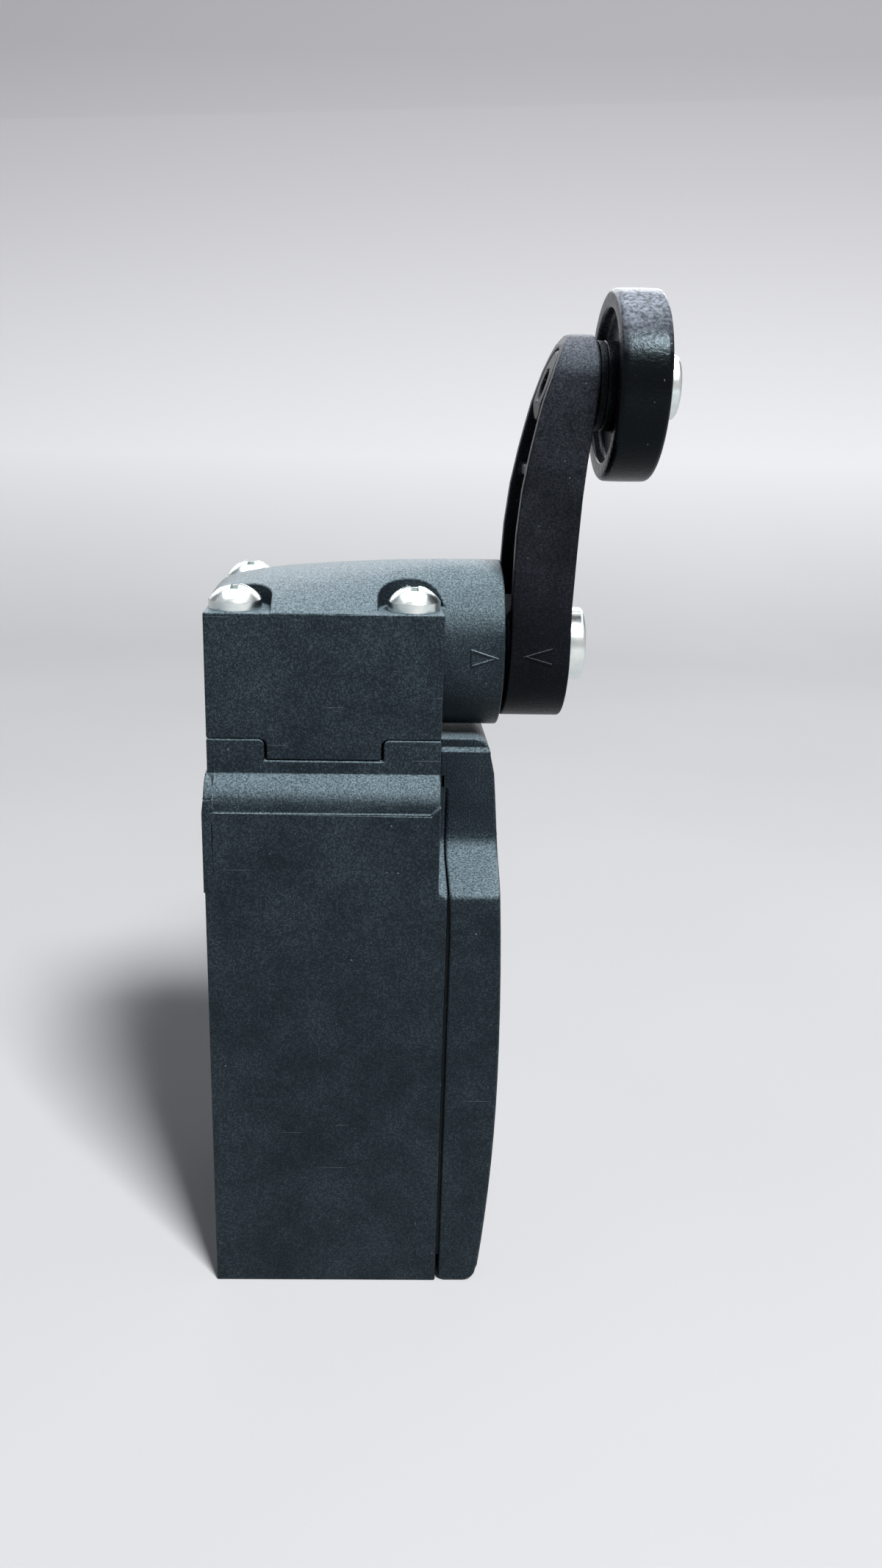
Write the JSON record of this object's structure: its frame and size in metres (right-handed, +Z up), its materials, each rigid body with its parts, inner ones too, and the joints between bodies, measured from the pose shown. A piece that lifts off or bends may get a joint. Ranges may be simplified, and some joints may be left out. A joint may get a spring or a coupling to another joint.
{
  "type": "roller lever limit switch",
  "caption": "Enclosed limit switch: plastic case with a threaded cable entry, hinged cover, square head with a round boss, and a sprung swinging lever with a roller.",
  "frame": {"origin": "centre of the cable entry's mouth in the base face, straight under the head's axis", "axes": "+Z up from the base to the roller, +X to the front, where the cover, the boss and the lever are, +Y across the width"},
  "size_m": [0.0508, 0.031, 0.1144],
  "materials": {
    "housing_plastic": "fine-grained moulded plastic, very dark slate grey",
    "lever_plastic": "fine-grained moulded plastic, black",
    "roller_plastic": "black plastic, tread polished and scuffed by use",
    "zinc_plate": "bright zinc plate",
    "steel": "turned and drawn steel",
    "brass": "plain brass",
    "seal_rubber": "soft black rubber",
    "insulator": "pale insulating plastic",
    "carrier_plastic": "red insulating plastic"
  },
  "bodies": {
    "housing": {"case": "housing_plastic", "head_housing": "housing_plastic", "head_gasket": "seal_rubber", "head_screws": "zinc_plate", "shaft_bush": "brass", "shaft_seal": "seal_rubber", "contact_block": "insulator", "contact_block_cover": "insulator", "break_terminals": "brass", "make_terminals": "brass", "terminal_screws": "zinc_plate", "terminal_clamps": "zinc_plate", "return_spring": "steel", "carrier_spring": "steel"},
    "cover": {"cover": "housing_plastic", "cover_gasket": "seal_rubber", "cover_hinge_pin": "steel"},
    "lever": {"shaft": "steel", "shaft_circlip": "steel", "lever_arm": "lever_plastic", "lever_washer": "zinc_plate", "lever_screw": "zinc_plate", "roller_pin": "zinc_plate", "roller_washer": "lever_plastic"},
    "roller": {"roller": "roller_plastic"},
    "plunger": {"return_plunger": "insulator"},
    "carrier": {"contact_carrier": "carrier_plastic", "break_bridge": "brass", "make_bridge": "brass", "bridge_springs": "steel"}
  },
  "joints": [
    {"name": "lever_swing", "type": "hinge", "parent": "housing", "child": "lever", "pos_m": [0, 0, 0.07615], "axis": [1, 0, 0], "range_deg": [-70, 70], "stiffness_Nm_per_rad": 0.08},
    {"name": "roller_spin", "type": "hinge", "parent": "lever", "child": "roller", "pos_m": [0.0325, 0, 0.1044], "axis": [1, 0, 0], "continuous": true},
    {"name": "plunger_press", "type": "slide", "parent": "housing", "child": "plunger", "axis": [0, 0, -1], "range_m": [0, 0.0015], "stiffness_N_per_m": 1500, "springref_m": -0.002, "deforming": ["return_spring"]},
    {"name": "carrier_slide", "type": "slide", "parent": "housing", "child": "carrier", "axis": [0, 0, -1], "range_m": [0, 0.0015], "stiffness_N_per_m": 400, "springref_m": -0.002, "deforming": ["carrier_spring"]},
    {"name": "cover_open", "type": "hinge", "parent": "housing", "child": "cover", "pos_m": [0.017, 0, 0.0016], "axis": [0, 1, 0], "range_deg": [0, 95]}
  ],
  "couplings": [
    {"joint": "carrier_slide", "follows": "plunger_press", "ratio": 1}
  ]
}
